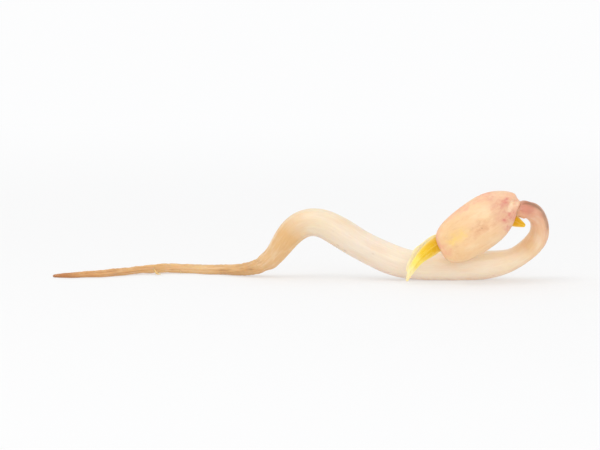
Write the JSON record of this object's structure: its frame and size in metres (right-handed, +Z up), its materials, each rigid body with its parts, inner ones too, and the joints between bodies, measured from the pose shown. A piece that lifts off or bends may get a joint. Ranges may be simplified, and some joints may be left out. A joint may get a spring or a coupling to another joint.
{
  "type": "mung bean sprout",
  "caption": "Edible bean sprout lying on its side: thick curved pale stem, hooked top, rounded seed leaves with narrow folded yellow leaves between them, and a thin tapering root.",
  "frame": {"origin": "middle of the whole sprout's box, on the surface it lies on", "axes": "+X towards the hook, away from the root tip; -Y towards the side the seed leaves lie on; +Z up from the surface"},
  "size_m": [0.0566, 0.014, 0.0106],
  "materials": {
    "stem_flesh": "satin",
    "seed_leaf_flesh": "satin",
    "true_leaf_tissue": "matte"
  },
  "bodies": {
    "root": {"stem_and_root": "stem_flesh", "seed_leaf_front": "seed_leaf_flesh", "seed_leaf_back": "seed_leaf_flesh", "true_leaf_front": "true_leaf_tissue", "true_leaf_back": "true_leaf_tissue"}
  },
  "joints": []
}
